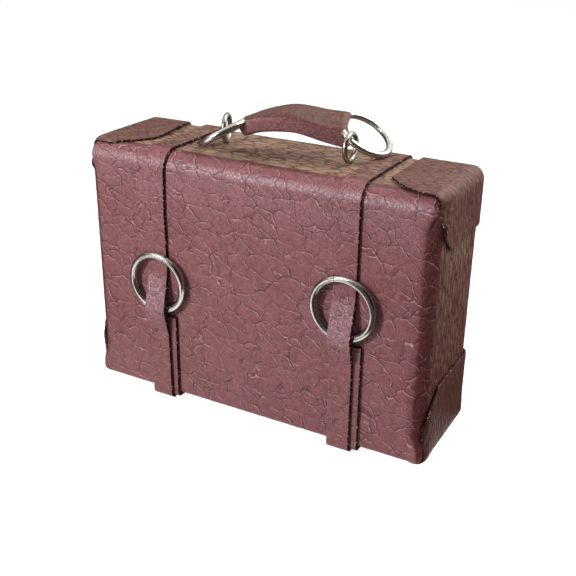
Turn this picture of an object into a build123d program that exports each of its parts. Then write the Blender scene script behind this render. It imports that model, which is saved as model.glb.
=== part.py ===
from build123d import *
from math import asin, cos, degrees, radians, sin, sqrt, tan
import os

os.makedirs("parts", exist_ok=True)

# Driving dimensions, in millimetres

# Case: a block wrapped in leather, with a flat leather panel on its back.
# Places along the case are shares of its width from its middle.
case_width = 50.0
case_depth = 15.4
case_height = 34.9
leather_thickness = 0.45
front_edge_radius = 2.3
edge_radius = 0.8

# Leather corner caps
cap_thickness = 0.4
right_cap_reach_share = 0.164
left_cap_reach_share = 0.14
top_cap_drop = 7.6
bottom_cap_rise = 10.2

# Straps
strap_width = 3.2
strap_thickness = 0.4
left_strap_share = -0.272
right_strap_share = 0.28
lower_strap_shift = 1.0
strap_back_rise = 5.0
strap_tail_margin = 3.0
strap_lean = 14.0
strap_bend_radius = 3.0
strap_butt_gap = 0.1

# Rings on the front straps
front_ring_diameter = 8.9
front_ring_wire = 0.9
left_front_ring_height = 16.9
right_front_ring_height = 19.5
left_front_ring_joint = 21.5
right_front_ring_joint = -15.5
ring_joint_gap = 0.08
running_clearance = 0.02
ring_rest_gap = 0.06

# Screw eyes on the top
eye_diameter = 4.0
eye_wire = 0.65
left_eye_share = -0.162
left_eye_depth = 8.6
left_eye_turn = 18.0
right_eye_share = 0.202
right_eye_depth = 8.15
right_eye_turn = 0.0
shank_length = 5.0
point_length = 1.2
eye_point_radius = 0.05
shank_end_gap = 0.3
eye_lift = 0.02

# Handle rings
handle_ring_diameter = 7.95
handle_ring_wire = 0.85
left_handle_ring_share = -0.13
left_handle_ring_depth = 5.45
left_handle_ring_lift = 2.32
left_handle_ring_tilt = -30.0
left_handle_ring_roll = -1.7
left_handle_ring_joint = 200.0
right_handle_ring_share = 0.206
right_handle_ring_depth = 12.0
right_handle_ring_lift = 2.8
right_handle_ring_tilt = 32.7
right_handle_ring_roll = -4.6
right_handle_ring_joint = 25.0

# Grip
grip_turn = 20.0
grip_width = 5.2
grip_thickness = 2.5
grip_end_width = 4.2
grip_end_thickness = 2.3
grip_rise = 0.75
grip_leather = 0.36
grip_corner_radius = 0.7
grip_ring_clearance = 0.03

# Places worked out from the sizes

front_ring_radius = (front_ring_diameter - front_ring_wire) / 2
front_wire_radius = front_ring_wire / 2
front_inner_radius = front_ring_radius - front_wire_radius
front_sagitta = front_inner_radius - sqrt(front_inner_radius**2 - (strap_width / 2) ** 2)
strap_pocket_radius = front_wire_radius + front_sagitta / 2 + running_clearance
ring_lean = asin(
    (strap_thickness + front_wire_radius + ring_rest_gap - strap_pocket_radius)
    / (2 * front_ring_radius - 1.5 * front_sagitta)
)

handle_ring_radius = (handle_ring_diameter - handle_ring_wire) / 2
handle_wire_radius = handle_ring_wire / 2
handle_inner_radius = handle_ring_radius - handle_wire_radius
handle_sagitta = handle_inner_radius - sqrt(handle_inner_radius**2 - (grip_end_width / 2) ** 2)
grip_pocket_radius = handle_wire_radius + handle_sagitta / 2 + grip_ring_clearance

eye_radius = (eye_diameter - eye_wire) / 2
eye_wire_radius = eye_wire / 2

# The origin is under the middle of the whole object, at the surface it stands on
front_reach = 2 * strap_pocket_radius + strap_thickness
back_reach = (
    right_handle_ring_depth
    + handle_ring_radius * cos(radians(right_handle_ring_roll))
    + handle_wire_radius
)
case_front = (front_reach - back_reach) / 2
case_back = case_front + case_depth
case_bottom = 2 * strap_thickness
case_top = case_bottom + case_height
hinge_y = case_front - strap_pocket_radius
eye_places = [
    ("left", case_width * left_eye_share, case_front + left_eye_depth, left_eye_turn),
    ("right", case_width * right_eye_share, case_front + right_eye_depth, right_eye_turn),
]
strap_places = [
    ("left", case_width * left_strap_share, left_front_ring_height),
    ("right", case_width * right_strap_share, right_front_ring_height),
]
cap_places = [
    ("left", -1, case_width * left_cap_reach_share),
    ("right", 1, case_width * right_cap_reach_share),
]
left_handle_ring_x = case_width * left_handle_ring_share
right_handle_ring_x = case_width * right_handle_ring_share
front_ring_joints = [left_front_ring_joint, right_front_ring_joint]


def finish(name, solid):
    solid.label = name
    export_step(solid, "parts/" + name + ".step")


# Case


def case_envelope(growth):
    """The rounded outside of the case, grown or shrunk evenly by growth."""
    width = case_width + 2 * growth
    depth = case_depth + 2 * growth
    height = case_height + 2 * growth
    with BuildPart() as envelope:
        with Locations((0, (case_front + case_back) / 2, (case_bottom + case_top) / 2)):
            Box(width, depth, height)
        front_edges = envelope.edges().group_by(Axis.Y)[0]
        top_front_edge = front_edges.filter_by(Axis.X).sort_by(Axis.Z)[-1]
        fillet(front_edges.filter_by(Axis.Z) + [top_front_edge], front_edge_radius + growth)
        back_edges = envelope.edges().group_by(Axis.Y)[-1]
        fillet(back_edges + envelope.edges().filter_by(Axis.Y), edge_radius + growth)
    return envelope.part


def shank_holes(depth):
    """Two holes for the screw eyes, sunk by depth from the top of the case."""
    with Locations(*[(x, y, case_top) for side_name, x, y, turn in eye_places]):
        Hole(eye_wire_radius + running_clearance, depth)


outer_case = case_envelope(0)
inner_case = case_envelope(-leather_thickness)
panel_face = case_back - leather_thickness

with BuildPart() as core_block:
    add(inner_case)
    shank_holes(leather_thickness + shank_length + shank_end_gap)
finish("core_block", core_block.part)

with BuildPart() as leather_cover:
    add(outer_case)
    add(inner_case, mode=Mode.SUBTRACT)
    split(bisect_by=Plane.XZ.offset(-panel_face), keep=Keep.TOP)
    shank_holes(leather_thickness)
finish("leather_cover", leather_cover.part)

with BuildPart() as back_panel:
    add(outer_case)
    split(bisect_by=Plane.XZ.offset(-panel_face), keep=Keep.BOTTOM)
finish("back_panel", back_panel.part)


# Leather corner caps

# Each outline runs from the front edge of the case to the back edge. Its points are
# shares of the case's depth and of the cap's reach, drop or rise.
left_outline_shares = [
    (0.06, 0.0), (0.065, 0.6), (0.15, 0.93), (0.22, 1.06), (0.31, 1.2), (0.53, 1.22), (1.0, 1.0),
]
right_outline_shares = [
    (0.06, 0.0), (0.06, 0.23), (0.07, 0.475), (0.11, 0.65), (0.205, 0.87), (0.274, 1.0), (1.0, 1.0),
]
top_side_outline_shares = [
    (0.05, 0.0), (0.05, 0.17), (0.03, 0.34), (0.03, 0.45), (0.12, 0.76), (0.25, 1.0), (1.0, 1.0),
]
low_side_outline_shares = [
    (0.066, 0.0), (0.044, 0.55), (0.08, 0.76), (0.15, 0.88), (0.268, 1.0), (0.478, 1.0), (1.0, 1.0),
]
back_outline_shares = [(0.0, 1.0), (0.62, 1.0), (1.0, 0.6), (1.0, 0.0)]


def region(plane, points, depth):
    """A block cut to an outline on one face of the case, reaching through that face."""
    with BuildPart() as block:
        with BuildSketch(plane):
            with BuildLine():
                Polyline(*points, close=True)
            make_face()
        extrude(amount=depth, both=True)
    return block.part


def corner_cap(side, reach, at_top):
    """One leather piece folded over a corner of the case: side is 1 at right, -1 at left."""
    edge_x = side * (case_width / 2 + cap_thickness)
    edge_y = case_back + cap_thickness
    edge_z = case_top + cap_thickness if at_top else case_bottom - cap_thickness
    down = -1 if at_top else 1
    height = top_cap_drop if at_top else bottom_cap_rise
    side_shares = top_side_outline_shares if at_top else low_side_outline_shares
    outline_shares = left_outline_shares if side < 0 else right_outline_shares
    depth = case_depth + cap_thickness

    flat = [
        (edge_x - side * reach * across, case_front + depth * along)
        for along, across in outline_shares
    ]
    flat += [(edge_x, edge_y), (edge_x, flat[0][1])]
    upright = [(case_front + depth * along, edge_z + down * height * share) for along, share in side_shares]
    upright += [(edge_y, edge_z), (upright[0][0], edge_z)]
    rear = [
        (edge_x - side * reach * across, edge_z + down * height * share)
        for across, share in back_outline_shares
    ]
    rear += [(edge_x, edge_z)]

    with BuildPart() as cap:
        add(region(Plane.XY.offset(edge_z), flat, front_edge_radius))
        add(region(Plane.YZ.offset(edge_x), upright, edge_radius + cap_thickness))
        add(region(Plane.XZ.offset(-edge_y), rear, edge_radius + cap_thickness))
        add(outer_cap_case, mode=Mode.INTERSECT)
        add(outer_case, mode=Mode.SUBTRACT)
    return cap.part


outer_cap_case = case_envelope(cap_thickness)
for side_name, side, reach in cap_places:
    finish("top_" + side_name + "_corner", corner_cap(side, reach, True))
    finish("bottom_" + side_name + "_corner", corner_cap(side, reach, False))


# Straps


def band(centre_line, radii, x):
    """A strap of even thickness that follows centre_line, its points given as (y, z)."""
    with BuildPart() as strap:
        with BuildSketch(Plane.YZ.offset(x - strap_width / 2)):
            with BuildLine() as route:
                FilletPolyline(*centre_line, radius=radii)
            trace(route.line, line_width=strap_thickness)
        extrude(amount=strap_width)
    return strap.part


def upper_strap(x, hinge_z):
    """Up the back, over the top, through the ring and over its lower wire, then under the case."""
    skin = strap_thickness / 2
    lean = radians(strap_lean)
    wrap_radius = strap_pocket_radius + skin
    crest_y = hinge_y - wrap_radius / cos(lean)
    upper_y = case_front - skin
    lower_y = case_front - strap_thickness - skin
    tail_z = case_bottom - strap_thickness - skin
    centre_line = [
        (case_back + skin, case_bottom + strap_back_rise + strap_butt_gap),
        (case_back + skin, case_top + skin),
        (upper_y, case_top + skin),
        (upper_y, hinge_z + (upper_y - crest_y) / tan(lean)),
        (crest_y, hinge_z),
        (lower_y, hinge_z - (lower_y - crest_y) / tan(lean)),
        (lower_y, tail_z),
        (case_back - strap_tail_margin, tail_z),
    ]
    radii = [
        edge_radius + skin,
        front_edge_radius + skin,
        strap_bend_radius,
        wrap_radius,
        strap_bend_radius,
        strap_thickness + 2 * skin,
    ]
    return band(centre_line, radii, x)


def lower_strap(x, hinge_z):
    """Up the back a little way, under the case and up the front to just below the ring."""
    skin = strap_thickness / 2
    front_y = case_front - skin
    base_z = case_bottom - skin
    centre_line = [
        (case_back + skin, case_bottom + strap_back_rise),
        (case_back + skin, base_z),
        (front_y, base_z),
        (front_y, hinge_z - strap_pocket_radius - strap_thickness),
    ]
    return band(centre_line, [edge_radius + skin, strap_thickness], x)


for side_name, strap_x, ring_height in strap_places:
    hinge_z = case_bottom + ring_height - front_ring_radius + front_sagitta / 2
    finish(side_name + "_upper_strap", upper_strap(strap_x, hinge_z))
    finish(side_name + "_lower_strap", lower_strap(strap_x + lower_strap_shift, hinge_z))


# Rings bent from round wire


def wire_ring(centre, normal, joint_direction, ring_radius, wire_radius):
    """A jump ring whose two ends almost meet, at the joint direction from its centre."""
    gap_angle = degrees(ring_joint_gap / ring_radius)
    start = joint_direction.rotate(Axis((0, 0, 0), normal), gap_angle / 2)
    section_plane = Plane(origin=centre, x_dir=start, z_dir=start.cross(normal))
    with BuildPart() as ring:
        with BuildSketch(section_plane):
            with Locations((ring_radius, 0)):
                Circle(wire_radius)
        revolve(axis=Axis(centre, normal), revolution_arc=360 - gap_angle)
    return ring.part


for (side_name, strap_x, ring_height), joint_angle in zip(strap_places, front_ring_joints):
    hinge_z = case_bottom + ring_height - front_ring_radius + front_sagitta / 2
    reach = front_ring_radius - front_sagitta / 2
    upward = Vector(0, -sin(ring_lean), cos(ring_lean))
    outward = Vector(0, -cos(ring_lean), -sin(ring_lean))
    ring_centre = Vector(strap_x, hinge_y, hinge_z) + upward * reach
    turn = radians(joint_angle)
    joint_direction = Vector(sin(turn), 0, 0) + upward * cos(turn)
    ring = wire_ring(ring_centre, outward, joint_direction, front_ring_radius, front_wire_radius)
    finish(side_name + "_strap_ring", ring)


# Screw eyes

for side_name, x, y, turn in eye_places:
    ring_centre_z = case_top + eye_lift + eye_diameter / 2
    neck_z = ring_centre_z - eye_radius
    tip_z = case_top - leather_thickness - shank_length
    eye_axis = (cos(radians(turn)), sin(radians(turn)), 0)
    with BuildPart() as screw_eye:
        with Locations(Plane(origin=(x, y, ring_centre_z), z_dir=eye_axis).location):
            Torus(eye_radius, eye_wire_radius)
        with Locations((x, y, neck_z)):
            shank = Cylinder(
                eye_wire_radius, neck_z - tip_z - point_length, align=(Align.CENTER, Align.CENTER, Align.MAX)
            )
        with Locations((x, y, tip_z + point_length)):
            Cone(
                eye_wire_radius, eye_point_radius, point_length,
                rotation=(180, 0, 0), align=(Align.CENTER, Align.CENTER, Align.MIN),
            )
    finish(side_name + "_screw_eye", screw_eye.part)


# Handle


def ring_normal(tilt, roll):
    """The upward normal of a handle ring, tilted along the case and rolled across it."""
    return Vector(
        sin(radians(tilt)) * cos(radians(roll)),
        sin(radians(roll)),
        cos(radians(tilt)) * cos(radians(roll)),
    )


def fold_line(centre, normal, toward_grip):
    """The line about which a ring turns in the end of the grip, as a point and a direction."""
    across = Vector(-sin(radians(grip_turn)), cos(radians(grip_turn)), 0)
    direction = (across - Vector(0, 0, across.dot(normal) / normal.Z)).normalized()
    inward = direction.cross(normal).normalized() * toward_grip
    return centre + inward * (handle_ring_radius - handle_sagitta / 2), direction


handle_rings = {
    "left": (
        Vector(left_handle_ring_x, case_front + left_handle_ring_depth, case_top + left_handle_ring_lift),
        ring_normal(left_handle_ring_tilt, left_handle_ring_roll),
        left_handle_ring_joint,
    ),
    "right": (
        Vector(right_handle_ring_x, case_front + right_handle_ring_depth, case_top + right_handle_ring_lift),
        ring_normal(right_handle_ring_tilt, right_handle_ring_roll),
        right_handle_ring_joint,
    ),
}

for side_name, (centre, normal, joint_angle) in handle_rings.items():
    turn = radians(joint_angle)
    level = Vector(cos(turn), sin(turn), 0)
    joint_direction = (level - normal * level.dot(normal)).normalized()
    ring = wire_ring(centre, normal, joint_direction, handle_ring_radius, handle_wire_radius)
    finish(side_name + "_handle_ring", ring)

left_fold, left_direction = fold_line(*handle_rings["left"][:2], 1)
right_fold, right_direction = fold_line(*handle_rings["right"][:2], -1)
fold_distance = (right_fold - left_fold).length
grip_end_reach = grip_pocket_radius + grip_leather
grip_length = fold_distance + 2 * grip_end_reach

# Sections along the grip: share of its length, and shares of the way from the end
# sizes to the middle sizes, from level to the full rise and from left roll to right roll
grip_sections = [
    (0.0, 0.0, 0.0, 0.0),
    (0.15, 0.1, 0.35, 0.1),
    (0.3, 0.8, 0.8, 0.3),
    (0.5, 1.0, 1.0, 0.5),
    (0.7, 0.8, 0.75, 0.7),
    (0.85, 0.1, 0.25, 0.9),
    (1.0, 0.0, 0.0, 1.0),
]


def grip_form(sections, skin):
    """The folded strip between the rings, or what it is folded round when skin is taken off."""
    along_line = (right_fold - left_fold).normalized()
    start = left_fold - along_line * grip_end_reach
    with BuildPart() as form:
        for along, fullness, height, roll_share in sections:
            width = grip_end_width + (grip_width - grip_end_width) * fullness
            thickness = grip_end_thickness + (grip_thickness - grip_end_thickness) * fullness
            across = left_direction * (1 - roll_share) + right_direction * roll_share
            across = (across - along_line * across.dot(along_line)).normalized()
            centre = start + along_line * (grip_length * along) + Vector(0, 0, grip_rise * height)
            with BuildSketch(Plane(origin=centre, x_dir=across, z_dir=along_line)):
                RectangleRounded(width - 2 * skin, thickness - 2 * skin, grip_corner_radius - skin)
        loft()
    return form.part


def fold_pockets():
    """The room for each ring's wire inside the folded ends of the grip."""
    for point, direction in [(left_fold, left_direction), (right_fold, right_direction)]:
        pocket_plane = Plane(origin=point, z_dir=direction)
        with Locations(pocket_plane.location):
            Cylinder(grip_pocket_radius, 2 * grip_width, mode=Mode.SUBTRACT)


filling = grip_form(grip_sections[2:-2], grip_leather)

with BuildPart() as grip_core:
    add(filling)
finish("grip_core", grip_core.part)

with BuildPart() as grip_cover:
    add(grip_form(grip_sections, 0))
    add(filling, mode=Mode.SUBTRACT)
    fold_pockets()
finish("grip_cover", grip_cover.part)
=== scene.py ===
from math import cos, pi, radians, sin, sqrt, tan

import bmesh
import bpy
import numpy as np
from mathutils import Matrix, Vector


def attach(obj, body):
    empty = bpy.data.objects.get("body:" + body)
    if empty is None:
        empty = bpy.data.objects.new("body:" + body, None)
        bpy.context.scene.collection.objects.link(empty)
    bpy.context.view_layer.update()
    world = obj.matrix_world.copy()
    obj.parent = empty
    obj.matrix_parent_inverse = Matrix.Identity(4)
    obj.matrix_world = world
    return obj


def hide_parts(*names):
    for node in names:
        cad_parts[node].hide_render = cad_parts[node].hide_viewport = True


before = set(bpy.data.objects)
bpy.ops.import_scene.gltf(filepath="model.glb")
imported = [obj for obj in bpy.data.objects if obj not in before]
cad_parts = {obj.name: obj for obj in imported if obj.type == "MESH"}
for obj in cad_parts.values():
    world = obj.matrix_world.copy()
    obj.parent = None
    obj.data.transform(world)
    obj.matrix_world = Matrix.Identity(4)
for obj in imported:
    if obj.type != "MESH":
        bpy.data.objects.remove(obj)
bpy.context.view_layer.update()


# Studio: a white sweep under the case, a small key lamp and a weak, larger one at the front left,
# and a big soft lamp high behind at the right. Dark cards round the case show only in
# reflections. The camera stands where the photograph was taken from.

mm = 0.001
front_y = -7.1213
case_bottom = 0.8
aim = Vector((1.9, 7.7 + front_y, 16.375 + case_bottom)) * mm
camera_distance = 122.63 * mm
azimuth, elevation, roll = radians(28.39), radians(23.87), radians(0.84)
photo_pixels, focal_pixels, sensor_width = 576, 905.2, 36

backward = Vector((sin(azimuth) * cos(elevation), -cos(azimuth) * cos(elevation), sin(elevation)))
level_right = Vector((cos(azimuth), sin(azimuth), 0))
level_up = backward.cross(level_right)
camera_right = level_right * cos(roll) + level_up * sin(roll)
camera_up = level_up * cos(roll) - level_right * sin(roll)
camera_data = bpy.data.cameras.new("camera")
camera_data.sensor_width = sensor_width
camera_data.lens = focal_pixels / photo_pixels * sensor_width
camera_data.clip_start = 0.005
camera_data.clip_end = 10
camera = bpy.data.objects.new("camera", camera_data)
facing = Matrix((camera_right, camera_up, backward)).transposed().to_4x4()
camera.matrix_world = Matrix.Translation(aim + backward * camera_distance) @ facing
bpy.context.scene.collection.objects.link(camera)
bpy.context.scene.camera = camera
bpy.context.scene.view_settings.view_transform = "Standard"


class Socket:
    """An output socket: Python's operators on it add Math nodes to its graph."""

    def __init__(self, graph, socket):
        self.graph = graph
        self.socket = socket

    def math(self, operation, *values):
        return self.graph.add("ShaderNodeMath", {"operation": operation}, dict(enumerate(values)))

    def __add__(self, other):
        return self.math("ADD", self, other)

    def __sub__(self, other):
        return self.math("SUBTRACT", self, other)

    def __rsub__(self, other):
        return self.math("SUBTRACT", other, self)

    def __mul__(self, other):
        return self.math("MULTIPLY", self, other)

    __radd__ = __add__
    __rmul__ = __mul__

    def at_most(self, other):
        return self.math("MINIMUM", self, other)

    def rise(self, low, high, first=0.0, last=1.0):
        """Goes smoothly from first to last as the socket goes from low to high."""
        ends = {0: self, 1: low, 2: high, 3: first, 4: last}
        return self.graph.add("ShaderNodeMapRange", {"interpolation_type": "SMOOTHSTEP"}, ends)


class Graph:
    """A node tree that is written as Python expressions."""

    def __init__(self, tree):
        self.tree = tree

    def add(self, kind, settings=None, sockets=None, output=0):
        node = self.tree.nodes.new(kind)
        for name, value in (settings or {}).items():
            setattr(node, name, value)
        for name, value in (sockets or {}).items():
            if isinstance(value, Socket):
                self.tree.links.new(value.socket, node.inputs[name])
            else:
                node.inputs[name].default_value = value
        return Socket(self, node.outputs[output]) if len(node.outputs) else node

    def vector(self, operation, *values, output=0):
        return self.add("ShaderNodeVectorMath", {"operation": operation}, dict(enumerate(values)), output)

    def mix(self, share, first, second):
        """The second colour over the first, by a share."""
        first, second = [(*c, 1) if isinstance(c, tuple) else c for c in (first, second)]
        return self.add("ShaderNodeMix", {"data_type": "RGBA"}, {0: share, 6: first, 7: second}, 2)

    def noise(self, place, scale, detail=2.0, roughness=0.5, output=0):
        sockets = {0: place, "Scale": scale, "Detail": detail, "Roughness": roughness}
        return self.add("ShaderNodeTexNoise", {}, sockets, output)

    def cells(self, place):
        """How far a place is from the border of its cell, where cells are about 1 wide."""
        settings = {"feature": "DISTANCE_TO_EDGE"}
        return self.add("ShaderNodeTexVoronoi", settings, {0: place, "Scale": 1.0})


def new_material(name):
    """An empty material and its graph."""
    material = bpy.data.materials.new(name)
    material.use_nodes = True
    material.node_tree.nodes.clear()
    return material, Graph(material.node_tree)


def srgb(*levels):
    """A colour given by its 0 to 255 screen levels, as linear light."""
    return tuple(((c / 255 + 0.055) / 1.055) ** 2.4 for c in levels)


def seen_directly(graph):
    """1 for what the camera, a reflection or clear glass shows."""
    kinds = ("Is Camera Ray", "Is Glossy Ray", "Is Transmission Ray")
    rays = [graph.add("ShaderNodeLightPath", output=kind) for kind in kinds]
    return (rays[0] + rays[1] + rays[2]).at_most(1.0)


def new_lamp(name, place, target, size, power, colour):
    """A round lamp that faces a target, with places and size in millimetres."""
    data = bpy.data.lights.new(name, "AREA")
    data.shape = "DISK"
    data.size = size * mm
    data.energy = power
    data.color = colour
    lamp = bpy.data.objects.new(name, data)
    lamp.location = Vector(place) * mm
    lamp.rotation_euler = (Vector(target) * mm - lamp.location).to_track_quat("-Z", "Y").to_euler()
    bpy.context.scene.collection.objects.link(lamp)


new_lamp("key_lamp", (-85, -165, 120), (0, 0, 18), 28, 0.255, (1.0, 0.975, 0.96))
new_lamp("window_lamp", (-112, -205, 95), (0, 0, 22), 90, 0.1, (0.93, 0.95, 1.0))
new_lamp("rear_lamp", (115, 110, 190), (5, 3, 25), 220, 0.55, (1.0, 0.96, 0.9))

world = bpy.data.worlds.new("studio")
world.use_nodes = True
world.node_tree.nodes.clear()
bpy.context.scene.world = world
sky = Graph(world.node_tree)
shown_sky = sky.add("ShaderNodeBackground", {}, {"Color": (1, 1, 1, 1), "Strength": 1.0})
fill_sky = sky.add("ShaderNodeBackground", {}, {"Color": (1.0, 0.985, 0.97, 1), "Strength": 0.22})
sky_mix = sky.add("ShaderNodeMixShader", {}, {0: seen_directly(sky), 1: fill_sky, 2: shown_sky})
sky.add("ShaderNodeOutputWorld", {}, {0: sky_mix})

floor_mesh = bpy.data.meshes.new("floor")
floor_reach = 2
floor_corners = [(x * floor_reach, y * floor_reach, 0) for x, y in ((-1, -1), (1, -1), (1, 1), (-1, 1))]
floor_mesh.from_pydata(floor_corners, [], [(0, 1, 2, 3)])
floor = bpy.data.objects.new("floor", floor_mesh)
bpy.context.scene.collection.objects.link(floor)
floor_material, paint = new_material("white_sweep")
lit = paint.add("ShaderNodeBsdfDiffuse", {}, {"Color": (0.4, 0.39, 0.38, 1)})
glow = paint.add("ShaderNodeEmission", {}, {"Color": (1, 1, 1, 1), "Strength": 0.9})
shown = paint.add("ShaderNodeAddShader", {}, {0: lit, 1: glow})
floor_mix = paint.add("ShaderNodeMixShader", {}, {0: seen_directly(paint), 1: lit, 2: shown})
paint.add("ShaderNodeOutputMaterial", {}, {0: floor_mix})
floor_mesh.materials.append(floor_material)


def dark_card(name, low_turn, high_turn, outline, colour):
    """A card that bends round part of the case, as (radius, height) points turned from low_turn to
    high_turn. Only its reflection in the wire and the leather shows."""
    steps = 24
    turns = [radians(low_turn + (high_turn - low_turn) * i / steps) for i in range(steps + 1)]
    points = [(r * sin(turn) * mm, -r * cos(turn) * mm, z * mm) for r, z in outline for turn in turns]
    row = steps + 1
    starts = [band * row + i for band in range(len(outline) - 1) for i in range(steps)]
    mesh = bpy.data.meshes.new(name)
    mesh.from_pydata(points, [], [(i, i + 1, i + 1 + row, i + row) for i in starts])
    card = bpy.data.objects.new(name, mesh)
    bpy.context.scene.collection.objects.link(card)
    material, paint = new_material(name)
    emission = paint.add("ShaderNodeEmission", {}, {"Color": (*colour, 1)})
    paint.add("ShaderNodeOutputMaterial", {}, {0: emission})
    mesh.materials.append(material)
    card.visible_camera = card.visible_diffuse = card.visible_shadow = False


front_outline = ((27.3, 0.3), (150, 0.3), (230, 8), (230, 400))
left_outline = ((34, 0.3), (150, 0.3), (230, 8), (230, 150))
rear_outline = ((27.3, 0.3), (150, 0.3), (200, 8))
dark_card("front_card", -8, 120, front_outline, (0.07, 0.062, 0.058))
dark_card("left_card", -170, -46, left_outline, (0.09, 0.085, 0.08))
dark_card("rear_card", 120, 190, rear_outline, (0.16, 0.14, 0.13))


# Block: a solid piece of plain softwood that gives the case its shape. It is sawn to size, and
# the leather is glued straight onto it.

wood_material, wood = new_material("softwood")
wood_place = wood.add("ShaderNodeTexCoord", output="Object")
ring_place = wood.vector("MULTIPLY", wood_place, (60.0, 900.0, 900.0))
ring_tone = wood.noise(ring_place, 1.0, 3.0)
wood_colour = wood.mix(ring_tone, srgb(214, 178, 134), srgb(168, 122, 80))
wood_skin = wood.add("ShaderNodeBsdfPrincipled", {}, {"Base Color": wood_colour, "Roughness": 0.7})
wood.add("ShaderNodeOutputMaterial", {}, {0: wood_skin})
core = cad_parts["core_block"]
core.data.materials.clear()
core.data.materials.append(wood_material)


# Leather cover: one piece of pebbled oxblood leather glued over front, top, sides and
# bottom. It is soft round the front edges and its back edge meets the back panel.

case_half_width, case_depth, case_height = 25.0, 15.4, 34.9
leather = 0.45
case_top = case_bottom + case_height
case_back = front_y + case_depth
panel_face = case_back - leather
soft_edge, tight_edge, bottom_edge = 2.3, 1.3, 0.8
# Where the edges' radii go from one to the next: behind the front, over the bottom, under the top
front_blend = (front_y + 1.5, front_y + 6)
lower_blend = (case_bottom + 1, case_bottom + 4.5)
base_blend = (case_bottom + 0.8, case_bottom + 4)
top_blend = (case_top - 4, case_top - 1.5)


def rise(values, low, high):
    """Goes smoothly from 0 to 1 as the values go from low to high."""
    share = np.clip((values - low) / (high - low), 0, 1)
    return share * share * (3 - 2 * share)


def rounded(points, tight, back=case_back, soft=soft_edge):
    """For points in or round the case: its edges' radius there, and the point that they bend round.
    The edges are soft round the front, tight elsewhere, and tightest at the bottom."""
    low = np.array([-case_half_width, front_y, case_bottom])
    high = np.array([case_half_width, back, case_top])
    y, z = points[:, 1], points[:, 2]
    at_front = 1 - rise(y, *front_blend)
    above = rise(z, *lower_blend)
    upper = z > (case_bottom + case_top) / 2
    fore = y < (front_y + case_back) / 2
    below_top = 1 - rise(z, *top_blend)
    softness = np.stack([at_front * above * below_top, fore * above, upper * at_front], axis=1)
    radii = tight + (soft - tight) * softness
    from_bottom = rise(z, *base_blend)[:, None]
    radii = bottom_edge + (radii - bottom_edge) * from_bottom
    return radii, np.clip(points, low + radii, high - radii)


def outward(points):
    """The direction in which the outside of the case faces next to each point."""
    away = points - rounded(points, tight_edge)[1]
    return away / np.maximum(np.linalg.norm(away, axis=1, keepdims=True), 1e-9)


def wrap(points, growth=0.0, back=case_back):
    """Moves points of a sharp box to the rounded outside of the case, or to a wall beside it."""
    radii, bend = rounded(points, tight_edge, back)
    reach = (points - bend) / (radii + growth)
    length = np.linalg.norm(reach, axis=1, keepdims=True)
    return bend + (radii + growth) * reach / np.maximum(length, 1e-9) * (length > 1e-9)


def box_grid(low, high, pitch, sides):
    """Square cells over the named sides of a box, joined along its edges."""
    low, high = np.array(low, float), np.array(high, float)
    counts = np.maximum(1, np.rint((high - low) / pitch)).astype(int)
    quads = []
    for axis, end in sides:
        across, along = [a for a in range(3) if a != axis]
        u, v = np.meshgrid(np.arange(counts[across]), np.arange(counts[along]), indexing="ij")
        corners = []
        for du, dv in ((0, 0), (1, 0), (1, 1), (0, 1)):
            cell = np.zeros((u.size, 3), int)
            cell[:, axis] = counts[axis] * end
            cell[:, across] = u.ravel() + du
            cell[:, along] = v.ravel() + dv
            corners.append(cell)
        if (axis == 1) == bool(end):
            corners.reverse()
        quads.append(np.stack(corners, axis=1))
    quads = np.concatenate(quads)
    codes = quads @ np.array([1, 1000, 1000000])
    kept, index = np.unique(codes, return_inverse=True)
    cells = np.stack([kept % 1000, kept // 1000 % 1000, kept // 1000000], axis=1)
    return low + cells / counts * (high - low), index.reshape(-1, 4)


def new_piece(name, points, faces):
    """A smooth mesh object from points in millimetres."""
    mesh = bpy.data.meshes.new(name)
    mesh.from_pydata((np.asarray(points) * mm).tolist(), [], [list(map(int, face)) for face in faces])
    mesh.polygons.foreach_set("use_smooth", [True] * len(mesh.polygons))
    mesh.update()
    piece = bpy.data.objects.new(name, mesh)
    bpy.context.scene.collection.objects.link(piece)
    return piece


def mark(piece, name, values):
    """Stores one number for each point of the mesh."""
    attribute = piece.data.attributes.new(name, "FLOAT", "POINT")
    attribute.data.foreach_set("value", np.asarray(values, dtype=np.float32))


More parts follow.
